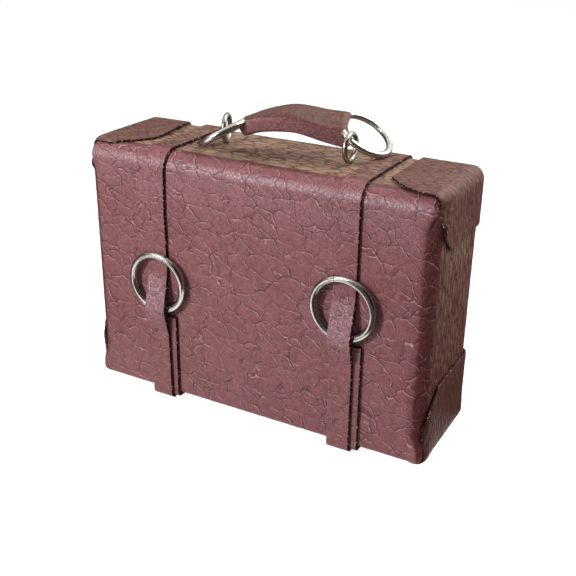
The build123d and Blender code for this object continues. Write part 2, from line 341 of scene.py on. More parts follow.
def pebbles(graph, place, shift, size, away):
    """The grain at a place: creases, rounded cells, fine wrinkles and ridges that carry a painted
    highlight, each 0 to 1.
    Where away is 0, as on the front, the cells are wavy and wide. Where it is 1 they are long
    and thin."""
    place = graph.vector("ADD", graph.vector("MULTIPLY", place, (1000.0 / size,) * 3), shift)
    drift = graph.vector("SUBTRACT", graph.noise(place, 0.2, 2.0, 0.5, output=1), (0.5,) * 3)
    ripple = graph.vector("SUBTRACT", graph.noise(place, 0.8, 2.0, 0.55, output=1), (0.5,) * 3)
    bent = graph.vector("ADD", place, graph.vector("MULTIPLY", drift, (2.2, 2.2, 2.2)))
    bent = graph.vector("ADD", bent, graph.vector("MULTIPLY", ripple, (1.0, 0.8, 1.0)))
    slant = {0: bent, "Angle": radians(-29)}
    turned = graph.add("ShaderNodeVectorRotate", {"rotation_type": "Y_AXIS"}, slant)
    wavy = graph.vector("MULTIPLY", turned, (0.3, 0.6, 0.54))
    long = graph.vector("ADD", place, graph.vector("MULTIPLY", drift, (1.4, 1.0, 1.4)))
    long = graph.vector("MULTIPLY", long, (0.5, 1.05, 0.42))
    beyond = graph.cells(graph.vector("ADD", wavy, (0.0, 0.0, 0.075)))
    front_cell, side_cell = graph.cells(wavy), graph.cells(long)
    strong = graph.noise(place, 0.42, 2.0, 0.5).rise(0.36, 0.56, 0.12, 1.0)
    front_crease = (1.0 - front_cell.rise(0.0, 0.045)) * strong
    side_crease = (1.0 - side_cell.rise(0.0, 0.2)) * (strong * 0.6 + 0.4)
    crease = front_crease + (side_crease - front_crease) * away
    front_pillow, side_pillow = front_cell.rise(0.0, 0.2), side_cell.rise(0.0, 0.45)
    pillow = front_pillow + (side_pillow - front_pillow) * away
    smaller = graph.vector("MULTIPLY", wavy, (1.9, 1.8, 2.0))
    small = graph.cells(graph.vector("ADD", smaller, (7.0, 3.0, 5.0)))
    faint = graph.noise(graph.vector("ADD", place, (9.0, 4.0, 2.0)), 0.5, 2.0, 0.5).rise(0.4, 0.56)
    wrinkle = (1.0 - small.rise(0.0, 0.12)) * faint * (1.0 - away)
    ridge = (1.0 - beyond.rise(0.0, 0.05)) * front_cell.rise(0.015, 0.05) * strong * (1.0 - away)
    return crease, pillow, wrinkle, ridge


def geometry_graph(tree, kinds):
    """A node tree with inputs for a mesh, a material and values, and its inputs by name."""
    inputs = {"Geometry": "Geometry"} | kinds | {"Material": "Material"}
    for name, kind in inputs.items():
        tree.interface.new_socket(name, in_out="INPUT", socket_type="NodeSocket" + kind)
    tree.interface.new_socket("Geometry", in_out="OUTPUT", socket_type="NodeSocketGeometry")
    graph = Graph(tree)
    sockets = tree.nodes.new("NodeGroupInput").outputs
    return graph, {socket.name: Socket(graph, socket) for socket in sockets if socket.name}


def grain_tree():
    """Presses the grain into a mesh, along its normals."""
    tree = bpy.data.node_groups.new("press_grain", "GeometryNodeTree")
    graph, given = geometry_graph(tree, {"Shift": "Vector", "Size": "Float", "Relief": "Float"})
    sizes = graph.add("ShaderNodeCombineXYZ", {}, {i: given["Size"] for i in range(3)})
    place = graph.vector("DIVIDE", graph.add("GeometryNodeInputPosition"), sizes)
    away = graph.add("GeometryNodeInputNamedAttribute", {"data_type": "FLOAT"}, {"Name": "away"})
    crease, pillow, wrinkle, ridge = pebbles(graph, place, given["Shift"], 1.0, away)
    sunk = (1.0 - pillow) * 0.7 + crease * 0.3
    skin = graph.add("GeometryNodeInputNamedAttribute", {"data_type": "FLOAT"}, {"Name": "skin"})
    depth = sunk * given["Relief"] * skin * -1.0
    inward = {0: graph.add("GeometryNodeInputNormal"), "Scale": depth}
    offset = graph.add("ShaderNodeVectorMath", {"operation": "SCALE"}, inward)
    moved = graph.add("GeometryNodeSetPosition", {}, {"Geometry": given["Geometry"], "Offset": offset})
    moved = graph.add("GeometryNodeRealizeInstances", {}, {0: moved})
    moved = graph.add("GeometryNodeSetMaterial", {}, {"Geometry": moved, "Material": given["Material"]})
    graph.add("NodeGroupOutput", {}, {0: moved})
    return tree


press_grain = grain_tree()


def apply_modifiers(piece):
    """Keeps what a piece's modifiers make of it as its mesh."""
    evaluated = piece.evaluated_get(bpy.context.evaluated_depsgraph_get())
    result = bpy.data.meshes.new_from_object(evaluated)
    piece.modifiers.clear()
    plain, piece.data = piece.data, result
    bpy.data.meshes.remove(plain)
    result.name = piece.name


def apply_tree(piece, tree, values):
    """Runs a piece through a geometry node tree, with its inputs by name."""
    modifier = piece.modifiers.new(tree.name, "NODES")
    modifier.node_group = tree
    for item in tree.interface.items_tree:
        if item.in_out == "INPUT" and item.name in values:
            modifier[item.identifier] = values[item.name]
    apply_modifiers(piece)


def press(piece, material, shift, size, relief):
    """Presses the grain into a piece: its place in the grain, the grain's size and its depth."""
    values = {"Shift": shift, "Size": size, "Relief": relief * mm, "Material": material}
    apply_tree(piece, press_grain, values)


# Painted light: the pinker front tones and the browner tones behind the front stand for how light and sheen
# fall on the front, top and sides.
cover_front = (srgb(154, 99, 104), srgb(141, 83, 89))
cover_back = (srgb(144, 112, 94), srgb(124, 82, 68))
# Heights, in metres, over which leather behind the front gets painted shade toward the bottom, painted
# highlights on its cells higher up, and painted light on the top
painted_shade_levels, painted_highlight_levels = (0.032, 0.004), (0.005, 0.035)
top_levels, over_top_levels = (0.0345, 0.0354), (0.0359, 0.0357)


def leather_material(name, shift, size=1.0, front=cover_front, back=cover_back, creased=1.0, painted_top_light=0.0):
    """Pebbled leather: dull sheen, a pale painted sheen, painted shade in the creases and on the rounded
    edges, painted highlights on ridges and crowns, a painted browner cast away from the front, dark cut
    edges.
    creased weakens the lines, and painted_top_light lightens the top with painted light."""
    material, graph = new_material(name)
    place = graph.add("ShaderNodeTexCoord", output="Object")
    away, cut, handled, painted_sheen = [
        graph.add("ShaderNodeAttribute", {"attribute_name": kind}, output="Fac")
        for kind in ("away", "cut", "gloss", "painted_sheen")
    ]
    edge = cut.rise(0.35, 0.65)
    crease, pillow, wrinkle, ridge = pebbles(graph, place, shift, size, away)
    fine = graph.noise(place, 1500.0, 3.0, 0.65)
    pores = graph.noise(place, 4200.0, 3.0, 0.7)
    patchy = graph.noise(place, 150.0, 3.0, 0.55)
    ahead = graph.mix(patchy.rise(0.32, 0.7, 0.0, 0.6), *front)
    behind = graph.mix(patchy.rise(0.32, 0.7, 0.0, 0.8), *back)
    level = graph.add("ShaderNodeSeparateXYZ", {}, {0: place}, output=2)
    # Painted shade: leather behind the front darkens toward the bottom.
    behind = graph.mix(level.rise(*painted_shade_levels, 0.0, 0.75), behind, srgb(88, 50, 43))
    # Painted light: a band on the top is lightened.
    on_top = level.rise(*top_levels) * level.rise(*over_top_levels)
    behind = graph.mix(on_top * painted_top_light, behind, srgb(186, 156, 132))
    # Painted shade: a dark red band where the leather turns round the rounded front edges.
    painted_edge_shade = away.rise(0.0, 0.3) * (1.0 - away.rise(0.5, 1.0))
    # Painted light: the leather turns browner away from the front, where the light falls differently.
    colour = graph.mix(away.rise(0.4, 1.0), ahead, behind)
    colour = graph.mix(painted_edge_shade * 0.95, colour, srgb(104, 46, 46))
    colour = graph.mix(fine.rise(0.3, 0.75, 0.35, 0.0), colour, srgb(84, 44, 44))
    colour = graph.mix(pores.rise(0.5, 0.36, 0.0, 0.2), colour, srgb(92, 48, 50))
    # Painted sheen: pale lilac specks and tone where the sheen falls.
    colour = graph.mix(pores.rise(0.5, 0.66) * (painted_sheen * 0.7 + 0.1), colour, srgb(206, 174, 182))
    colour = graph.mix(painted_sheen * 0.24, colour, srgb(178, 146, 156))
    # Painted highlight: a light line along each crease's ridge.
    colour = graph.mix(ridge * 0.7 * creased, colour, srgb(214, 170, 172))
    # Painted highlight: the cells' crowns behind the front are lightened, more so higher up.
    painted_crown_highlight = pillow * away * level.rise(*painted_highlight_levels, 0.0, 0.22) * creased
    colour = graph.mix(painted_crown_highlight, colour, srgb(178, 152, 132))
    # Painted shade: the creases and wrinkles are darkened.
    painted_crease_shade = (crease * (away * 0.3 + 0.42) + wrinkle * 0.2) * creased
    colour = graph.mix(painted_crease_shade, colour, srgb(70, 30, 32))
    grit = graph.noise(place, 4200.0, 1.0, 0.5).rise(0.63, 0.69)
    colour = graph.mix(edge, colour, graph.mix(grit, srgb(38, 18, 18), srgb(196, 150, 140)))
    relief = pillow * (0.04 + away * 0.05) - crease * 0.06 - wrinkle * 0.03 + ridge * 0.04
    relief = relief * size * creased
    height = (relief + fine * 0.05 + pores * 0.01) * mm
    bump = graph.add("ShaderNodeBump", {}, {"Strength": 1.0, "Distance": 1.0, "Height": height})
    dullness = (fine * 0.2 + 0.4 + edge * 0.3).at_most(0.95)
    gloss = handled * (1.0 - edge) * pores.rise(0.38, 0.62, 0.3, 1.2) * (1.0 - crease * 0.8)
    sockets = {"Base Color": colour, "Roughness": dullness, "Normal": bump}
    sockets |= {"Specular IOR Level": 0.2, "Coat Weight": gloss, "Coat Roughness": 0.45, "Coat IOR": 1.5}
    skin = graph.add("ShaderNodeBsdfPrincipled", {}, sockets)
    graph.add("ShaderNodeOutputMaterial", {}, {0: skin})
    return material


def behind_front(points):
    """How far points lie behind the front: 0 on it, 1 past its rounded edges."""
    facing = outward(points)
    start = front_y + 0.5 + 0.6 * np.clip(facing[:, 2], 0, 1)
    at_sides = 0.35 * rise(np.abs(facing[:, 0]), 0.15, 0.6)
    return np.maximum(rise(points[:, 1], start, start + 1.9), at_sides)


def mark_leather(piece, points, away, cut, skin=1.0, painted_sheen=0.0):
    """Marks where painted light makes the leather browner, where it is cut, takes the grain, is glossy from
    handling, or carries a pale painted sheen.
    """
    facing = outward(points)
    aside, back, up = np.abs(facing[:, 0]), facing[:, 1], facing[:, 2]
    away = np.asarray(away)
    gloss = 0.5 * (1 - rise(aside, 0.1, 0.5)) * (1 - rise(back, -0.3, 0.6))
    not_on_top = 1 - rise(up, 0.45, 0.75)
    # Painted sheen: a pale sheen is painted along the top front edge and high on the front.
    top_edge = rise(up, 0.02, 0.3) * not_on_top * (back < 0)
    high = 0.3 * rise(points[:, 2], 27, 33.4) * not_on_top
    painted_sheen = np.maximum(painted_sheen, (1 - rise(aside, 0.2, 0.6)) * np.maximum(top_edge, high))
    gloss, painted_sheen = gloss * (1 - 0.5 * away), painted_sheen * (1 - away)
    kinds = {"away": away, "cut": cut, "skin": skin, "gloss": gloss, "painted_sheen": painted_sheen}
    for name, values in kinds.items():
        mark(piece, name, values * np.ones(len(points)))


def rim_loop(faces, points):
    """The open border of a grid, in order, from its corner at the bottom left."""
    edges = {(a, b) for face in faces.tolist() for a, b in zip(face, face[1:] + face[:1])}
    border = {a: b for a, b in edges if (b, a) not in edges}
    loop = [min(border, key=lambda i: tuple(points[i][[0, 2]]))]
    while border[loop[-1]] != loop[0]:
        loop.append(border[loop[-1]])
    return loop


# The inner side of the cover is a coarser wall: each edge of its rim meets rim_ratio of the skin's
skin_pitch, wall_pitch, rim_ratio = 0.25, 0.98, 4
cover_sides = ((0, 0), (0, 1), (1, 0), (2, 0), (2, 1))
cover_low = (-case_half_width, front_y, case_bottom)
cover_high = (case_half_width, panel_face, case_top)
sharp, cover_faces = box_grid(cover_low, cover_high, skin_pitch, cover_sides)
cover_points = wrap(sharp)
wall_low = (-case_half_width + leather, front_y + leather, case_bottom + leather)
wall_high = (case_half_width - leather, panel_face, case_top - leather)
inner_sharp, inner_faces = box_grid(wall_low, wall_high, wall_pitch, cover_sides)
past_back = case_back + 5
inner_points = wrap(inner_sharp, -leather, past_back)
outer_rim, inner_rim = rim_loop(cover_faces, sharp), rim_loop(inner_faces, inner_sharp)
first_inner = len(cover_points)
all_points = np.concatenate([cover_points, inner_points])
all_faces = cover_faces.tolist() + (inner_faces[:, ::-1] + first_inner).tolist()
for i in range(len(inner_rim)):
    here, after = inner_rim[i] + first_inner, inner_rim[(i + 1) % len(inner_rim)] + first_inner
    run = [outer_rim[(rim_ratio * i + step) % len(outer_rim)] for step in range(rim_ratio + 1)]
    all_faces.append([*reversed(run), here, after])
leather_cover = new_piece("leather_cover_skin", all_points, all_faces)
outer = np.arange(len(all_points)) < first_inner
mark_leather(leather_cover, all_points, behind_front(all_points), ~outer, outer)
cover_shift = (0.0, 0.0, 0.0)
# The cover's top gets painted light.
cover_material = leather_material("oxblood_leather_cover", cover_shift, painted_top_light=0.75)
press(leather_cover, cover_material, cover_shift, 1.0, 0.03)
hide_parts("leather_cover")
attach(leather_cover, "case")


# Back panel: a separate flat piece of the same leather that closes the back. Its edge is
# cut flush with the cover, and shows as a dark line along the back of both sides.

panel_low = (-case_half_width, panel_face, case_bottom)
panel_high = (case_half_width, case_back, case_top)
all_sides = [(axis, end) for axis in range(3) for end in range(2)]
panel_pitch = 0.26
sharp, panel_faces = box_grid(panel_low, panel_high, panel_pitch, all_sides)
panel_points = wrap(sharp)


def within_outline(points, margin):
    """Whether points lie inside the case's outline as seen from behind, by a margin."""
    from_middle = np.abs(points[:, 2] - (case_bottom + case_top) / 2)
    return (np.abs(points[:, 0]) < case_half_width - margin) & (from_middle < case_height / 2 - margin)


hair, dark_rim = 0.01, 0.2
at_front = sharp[:, 1] < panel_face + hair
panel_points[within_outline(sharp, hair) & at_front, 1] = panel_face
back_panel = new_piece("back_panel_skin", panel_points, panel_faces)
at_back = sharp[:, 1] > case_back - hair
mark_leather(back_panel, panel_points, 1.0, ~within_outline(panel_points, dark_rim), at_back)
panel_shift, panel_grain = (31.0, 4.0, 17.0), 0.75
panel_material = leather_material("oxblood_leather_panel", panel_shift, panel_grain, creased=0.5)
press(back_panel, panel_material, panel_shift, panel_grain, 0.02)
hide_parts("back_panel")
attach(back_panel, "case")


# Corner caps: a leather piece folded over each corner and glued down, cut by hand with a
# wavy edge. The cut edges are raw, dark and fluffy, and stand a little off the cover.


def read_vertices(mesh, kind):
    """What the mesh's vertices have of a kind, such as their places or their normals."""
    values = np.empty(len(mesh.vertices) * 3, np.float32)
    mesh.vertices.foreach_get(kind, values)
    return values.reshape(-1, 3)


def read_points(mesh):
    """A mesh's points, in millimetres."""
    return read_vertices(mesh, "co") / mm


def write_points(mesh, points):
    """Moves a mesh's points to places in millimetres."""
    mesh.vertices.foreach_set("co", (points * mm).astype(np.float32).ravel())
    mesh.update()


def supple(name, node, voxel, rounds):
    """An even, closed mesh of a leather node, with its edges softened."""
    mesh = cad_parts[node].data.copy()
    mesh.name = name
    form = bmesh.new()
    form.from_mesh(mesh)
    bmesh.ops.remove_doubles(form, verts=form.verts, dist=1e-6)
    form.to_mesh(mesh)
    form.free()
    piece = bpy.data.objects.new(name, mesh)
    bpy.context.scene.collection.objects.link(piece)
    remesh = piece.modifiers.new("even", "REMESH")
    remesh.mode = "VOXEL"
    remesh.voxel_size = voxel * mm
    soften = piece.modifiers.new("soften", "SMOOTH")
    soften.factor = 0.5
    soften.iterations = rounds
    apply_modifiers(piece)
    piece.data.materials.clear()
    piece.data.polygons.foreach_set("use_smooth", [True] * len(piece.data.polygons))
    return piece


# Where each cap has come unstuck: a spot, how wide it is and how far the leather stands off
cap_lifts = {
    "top_left_corner": [((-17.5, 2.5, case_top), 3.2, 0.35)],
    "top_right_corner": [((18.0, -3.0, case_top), 2.0, 0.12), ((25.0, -6.6, 33.0), 1.8, 0.22)],
    "bottom_left_corner": [((-25.0, -4.0, 7.0), 2.5, 0.2)],
    "bottom_right_corner": [((25.0, -5.0, 8.0), 2.5, 0.2), ((25.0, -6.0, 1.0), 1.5, 0.2)],
}
cad_edge, cap_soft_edge, left_side_height = 0.8, 1.4, 0.6
# The front edge of the top right cap is pushed back round one height
pushed_back, push_level, push_spread = 1.1, 32.9, 1.3
push_depths, push_sides = (-6.5, -3.0), (23.5, 24.5)
cap_voxel, cap_rounds, cap_grain = 0.11, 7, 0.8
cap_tones = (srgb(120, 82, 72), srgb(100, 61, 53))
caps = {}
for number, (node, lifts) in enumerate(cap_lifts.items()):
    cap = supple(node + "_leather", node, cap_voxel, cap_rounds)
    points = read_points(cap.data)
    radii, bend = rounded(points, cad_edge)
    reach = points - bend
    length = np.linalg.norm(reach, axis=1, keepdims=True)
    edge_radius = np.linalg.norm(radii * reach, axis=1, keepdims=True) / np.maximum(length, 1e-9)
    height = length - edge_radius
    height = height * np.where(points[:, :1] < -case_half_width, left_side_height, 1.0)
    radii, bend = rounded(points, tight_edge, soft=cap_soft_edge if "right" in node else soft_edge)
    reach = points - bend
    facing_out = reach / np.maximum(np.linalg.norm(reach, axis=1, keepdims=True), 1e-9)
    points = bend + facing_out * radii + facing_out * height
    across = np.abs(np.sum(read_vertices(cap.data, "normal") * facing_out, axis=1))
    for centre, spread, lift in lifts:
        away = np.linalg.norm(points - np.array(centre), axis=1) / spread
        points += facing_out * (lift * np.exp(-away * away))[:, None]
    if node == "top_right_corner":
        near = (1 - rise(points[:, 1], *push_depths)) * rise(points[:, 0], *push_sides)
        at_level = np.exp(-(((points[:, 2] - push_level) / push_spread) ** 2))
        points[:, 1] += pushed_back * at_level * near
    write_points(cap.data, points)
    mark_leather(cap, points, 1.0, 1 - rise(across, 0.45, 0.75))
    shift = (11.0 + 9 * number, 2.0 + 5 * number, 23.0)
    cap_name = "oxblood_leather_" + node
    cap_material = leather_material(cap_name, shift, cap_grain, back=cap_tones, creased=0.6)
    press(cap, cap_material, shift, cap_grain, 0.03)
    caps[node] = cap
    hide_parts(node)
    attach(cap, "case")


# Frayed fibres: where the caps were cut, short pale fibres of the leather's inside stick out
# of the edge. They are densest at the front corners, where the caps are rubbed most.


def fray_tree():
    """Scatters bent fibres over a mesh, as densely as its fray attribute says."""
    tree = bpy.data.node_groups.new("fray", "GeometryNodeTree")
    graph, given = geometry_graph(tree, {"Density": "Float", "Length": "Float", "Thickness": "Float"})
    fray = graph.add("GeometryNodeInputNamedAttribute", {"data_type": "FLOAT"}, {"Name": "fray"})
    scatter = {"Mesh": given["Geometry"], "Density": fray * given["Density"], "Seed": 4}
    spots = graph.add("GeometryNodeDistributePointsOnFaces", {"distribute_method": "RANDOM"}, scatter)
    random_turn = {0: (-1.3, -1.3, 0.0), 1: (1.3, 1.3, 6.28), 8: 7}
    turns = graph.add("FunctionNodeRandomValue", {"data_type": "FLOAT_VECTOR"}, random_turn)
    random_size = {2: 0.4, 3: 1.0, 8: 9}
    sizes = graph.add("FunctionNodeRandomValue", {"data_type": "FLOAT"}, random_size, 1)
    start, middle, end = [
        graph.add("ShaderNodeCombineXYZ", {}, {0: given["Length"] * x, 2: given["Length"] * z})
        for x, z in ((0, 0), (0, 0.7), (0.6, 0.9))
    ]
    arc = {"Resolution": 5, "Start": start, "Middle": middle, "End": end}
    bend = graph.add("GeometryNodeCurveQuadraticBezier", {}, arc)
    circle = {"Resolution": 5, "Radius": given["Thickness"]}
    section = graph.add("GeometryNodeCurvePrimitiveCircle", {}, circle)
    tube = {"Curve": bend, "Profile Curve": section, "Fill Caps": True}
    fibre = graph.add("GeometryNodeCurveToMesh", {}, tube)
    placed = {"Points": spots, "Instance": fibre, "Rotation": turns, "Scale": sizes}
    fibres = graph.add("GeometryNodeInstanceOnPoints", {}, placed)
    fibres = graph.add("GeometryNodeRealizeInstances", {}, {0: fibres})
    fibres = graph.add("GeometryNodeSetMaterial", {}, {"Geometry": fibres, "Material": given["Material"]})
    graph.add("NodeGroupOutput", {}, {0: fibres})
    return tree


# The most frayed spots: a place, how wide it is and how frayed
frayed_spots = [
    ((25.0, -7.0, 35.4), 0.9, 1.0),
    ((25.2, -6.2, 1.0), 1.3, 0.6),
    ((-25.0, -7.0, 35.4), 0.9, 0.5),
    ((21.0, -6.2, 36.0), 1.6, 0.35),
    ((-19.0, -5.0, 36.0), 2.0, 0.35),
    ((25.4, -5.5, 31.5), 1.5, 0.3),
]
frayed_elsewhere, cut_edge = 0.03, 0.6
fibres_per_area, fibre_length, fibre_radius = 6e6, 0.45 * mm, 0.022 * mm
fray = fray_tree()
fray_material, fluff = new_material("leather_fibre")
fluff_tone = fluff.noise(fluff.add("ShaderNodeTexCoord", output="Object"), 3000.0)
fluff_colour = fluff.mix(fluff_tone, srgb(238, 224, 216), srgb(196, 164, 154))
fluff_skin = fluff.add("ShaderNodeBsdfPrincipled", {}, {"Base Color": fluff_colour, "Roughness": 0.8})
fluff.add("ShaderNodeOutputMaterial", {}, {0: fluff_skin})
for node, cap in caps.items():
    points = read_points(cap.data)
    cut = np.empty(len(points), np.float32)
    cap.data.attributes["cut"].data.foreach_get("value", cut)
    fray_here = np.full(len(points), frayed_elsewhere)
    for centre, spread, strength in frayed_spots:
        away = np.linalg.norm(points - np.array(centre), axis=1) / spread
        fray_here += strength * np.exp(-away * away)
    fibres = bpy.data.objects.new(node + "_fibres", cap.data.copy())
    bpy.context.scene.collection.objects.link(fibres)
    mark(fibres, "fray", fray_here * (cut > cut_edge))
    values = {"Density": fibres_per_area, "Length": fibre_length, "Thickness": fibre_radius}
    apply_tree(fibres, fray, values | {"Material": fray_material})
    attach(fibres, "case")


# Straps: narrow strips of the same leather, glued round the case. The upper strap passes
# over the lower wire of its ring and covers the lower strap, which peeks out beside it.

strap_width, strap_thickness, strap_spacing = 3.2, 0.4, 0.24
clearance = 0.02
upper_end, lower_end, end_below = 5.1, 5.0, 3.0
front_ring_radius, front_wire_radius = 4.0, 0.45
inner_radius = front_ring_radius - front_wire_radius
front_bow = inner_radius - sqrt(inner_radius**2 - (strap_width / 2) ** 2)
pocket = front_wire_radius + front_bow / 2 + clearance
hinge_y = front_y - pocket


def rounded_route(corners, radii, spacing):
    """Points every spacing along straight runs that meet in arcs, as (y, z)."""
    corners = [Vector(corner) for corner in corners]
    route = [corners[0]]
    for before, corner, after, radius in zip(corners, corners[1:], corners[2:], radii):
        came, goes = (corner - before).normalized(), (after - corner).normalized()
        turn = came.angle_signed(goes)
        cut = radius * abs(tan(turn / 2))
        steps = max(3, int(abs(turn) * radius / spacing) + 1)
        side = 1 if came.cross(goes) > 0 else -1
        centre = corner - came * cut + Vector((-came.y, came.x)) * radius * side
        arm = corner - came * cut - centre
        for i in range(steps + 1):
            angle = abs(turn) * side * i / steps
            y = arm.x * cos(angle) - arm.y * sin(angle)
            z = arm.x * sin(angle) + arm.y * cos(angle)
            route.append(centre + Vector((y, z)))
    route.append(corners[-1])
    even = [route[0]]
    for start, end in zip(route, route[1:]):
        length = (end - start).length
        steps = max(1, round(length / spacing))
        even += [start.lerp(end, i / steps) for i in range(1, steps + 1) if length > 1e-6]
    return np.array([tuple(point) for point in even])


def strap_piece(name, x, corners, radii, drift):
    """A strip of leather along a route; drift gives its sideways shift at each (y, z)."""
    route = rounded_route(corners, radii, strap_spacing)
    along = np.gradient(route, axis=0)
    along /= np.linalg.norm(along, axis=1, keepdims=True)
    side = np.stack([-along[:, 1], along[:, 0]], axis=1)
    to_edge = np.array([0.17, 0.35, 0.52, 0.7, 0.86, 0.975, 1])
    across = np.concatenate([-to_edge[::-1], [0], to_edge])
    outer = np.concatenate([across, across[::-1]])
    level = np.concatenate([np.ones(len(across)), -np.ones(len(across))])
    thick = level * strap_thickness / 2 * np.where(np.abs(outer) > 0.99, 0.7, 1.0)
    count, ring = len(route), len(outer)
    points = np.empty((count, ring, 3))
    points[:, :, 0] = x + drift(route)[:, None] + outer[None, :] * strap_width / 2
    points[:, :, 1:] = route[:, None, :] + side[:, None, :] * thick[None, :, None]
    index = np.arange(count * ring).reshape(count, ring)
    faces = []
    for i in range(count - 1):
        for j in range(ring):
            k = (j + 1) % ring
            faces.append((index[i, j], index[i, k], index[i + 1, k], index[i + 1, j]))
    for row, flip in ((index[0], 1), (index[-1], -1)):
        for j in range(len(across) - 1):
            faces.append((row[j], row[ring - 1 - j], row[ring - 2 - j], row[j + 1])[::flip])
    piece = new_piece(name, points.reshape(-1, 3), faces)
    form = bmesh.new()
    form.from_mesh(piece.data)
    bmesh.ops.recalc_face_normals(form, faces=form.faces)
    form.to_mesh(piece.data)
    form.free()
    raw = np.zeros((count, ring))
    raw[:, (outer < -0.99) | (outer > 0.97)] = 1
    raw[[0, -1], :] = 1
    points = points.reshape(-1, 3)
    crest_z = route[np.argmin(route[:, 0]), 1]
    # Painted sheen: the strap is paler where it leans out over its ring.
    ahead = rise(front_y - points[:, 1], strap_thickness * 1.1, strap_thickness * 2)
    sheen_over_ring = ahead * rise(points[:, 2], crest_z - 2, crest_z)
    mark_leather(piece, points, behind_front(points), raw.ravel(), painted_sheen=sheen_over_ring)
    return piece


def upper_corners(hinge_z):
    """The upper strap's route as corners, with the radius of each bend."""
    lean, bend = radians(14), 3.0
    skin = strap_thickness / 2
    wrap_radius = pocket + skin
    crest_y = hinge_y - wrap_radius / cos(lean)
    upper_y, lower_y = front_y - skin, front_y - strap_thickness - skin
    tail_z = case_bottom - strap_thickness - skin
    corners = [
        (case_back + skin, case_bottom + upper_end),
        (case_back + skin, case_top + skin),
        (upper_y, case_top + skin),
        (upper_y, hinge_z + (upper_y - crest_y) / tan(lean)),
        (crest_y, hinge_z),
        (lower_y, hinge_z - (lower_y - crest_y) / tan(lean)),
        (lower_y, tail_z),
        (case_back - end_below, tail_z),
    ]
    return corners, (tight_edge + skin, soft_edge + skin, bend, wrap_radius, bend, bottom_edge)


def lower_corners(hinge_z):
    """The lower strap's route as corners, with the radius of each bend."""
    skin = strap_thickness / 2
    base_z = case_bottom - skin
    corners = [
        (case_back + skin, case_bottom + lower_end),
        (case_back + skin, base_z),
        (front_y - skin, base_z),
        (front_y - skin, hinge_z - pocket - strap_thickness),
    ]
    return corners, (bottom_edge + skin, 0.4)


def hand_cut(route):
    """The slow sideways wander of a strip that was cut and glued by hand, at its front."""
    ahead = route[:, 0] < front_y
    heights, shifts = [0, 8, 14, 20, 28, 33, 36], [0.15, 0.05, 0.0, -0.1, -0.25, -0.12, 0.0]
    return ahead * np.interp(route[:, 1], heights, shifts)


def straight(route):
    """No sideways wander."""
    return np.zeros(len(route))


# Each side's straps: their middle, their ring's height and the upper one's wander
strap_places = {
    "left": (-13.6, case_bottom + 16.9, hand_cut),
    "right": (14.0, case_bottom + 19.5, straight),
}
lower_shift, strap_grain = 1.0, 0.75
for number, (side_name, (strap_x, ring_z, drift)) in enumerate(strap_places.items()):
    hinge_z = ring_z - front_ring_radius + front_bow / 2
    lower_name, upper_name = side_name + "_lower_strap_leather", side_name + "_upper_strap_leather"
    lower = strap_piece(lower_name, strap_x + lower_shift, *lower_corners(hinge_z), straight)
    upper = strap_piece(upper_name, strap_x, *upper_corners(hinge_z), drift)
    for level, strap in (("_lower_strap", lower), ("_upper_strap", upper)):
        shift = (3.0 + 17 * number, 9.0 if strap is lower else 14.0, 41.0 + 7 * number)
        strap_material = leather_material("oxblood_leather_" + side_name + level, shift, strap_grain)
        press(strap, strap_material, shift, strap_grain, 0.025)
        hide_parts(side_name + level)
        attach(strap, "case")


# Grip: a strip of the leather wrapped over a filling and folded round both handle rings. Its
# hidden edges are glued. It arches, and at the right it follows its ring and hangs lower in
# front.

grip_left, grip_right = Vector((-3.668, -0.345, 39.7)), Vector((7.543, 3.341, 40.123))
handle_ring_radius = 3.55
grip_shares = [0, 0.15, 0.33, 0.5, 0.67, 0.85, 1]
grip_rises = [-0.7, -0.12, 0.25, 0.35, 0.15, -0.17, -0.36]
grip_widths = [4.11, 4.9, 5.45, 5.55, 5.4, 5.05, 4.74]
grip_thicknesses = [2.5, 2.55, 2.65, 2.7, 2.4, 1.95, 1.72]
grip_turns = (-7.7, 19.1)
grip_end, grip_right_end = 0.5, 0.9
# The ends bow round their rings over a share of the length, the right one more at its front, and
# the front edge droops toward the right
grip_bows, bow_reach, front_bowed = (0.4, 0.3), 0.3, 1.8
grip_droop, droop_above = 0.27, 0.15
grip_squareness, thinnest = 0.55, 0.02


def smooth_values(shares, values, at):
    """Values on a smooth line through the given ones."""
    slopes = np.gradient(values, shares)
    place = np.clip(np.searchsorted(shares, at) - 1, 0, len(shares) - 2)
    shares, values = np.array(shares), np.array(values)
    span = shares[place + 1] - shares[place]
    t = (at - shares[place]) / span
    bent = (t**3 - 2 * t**2 + t) * slopes[place] + (t**3 - t**2) * slopes[place + 1]
    return values[place] + (values[place + 1] - values[place]) * (3 * t * t - 2 * t**3) + bent * span


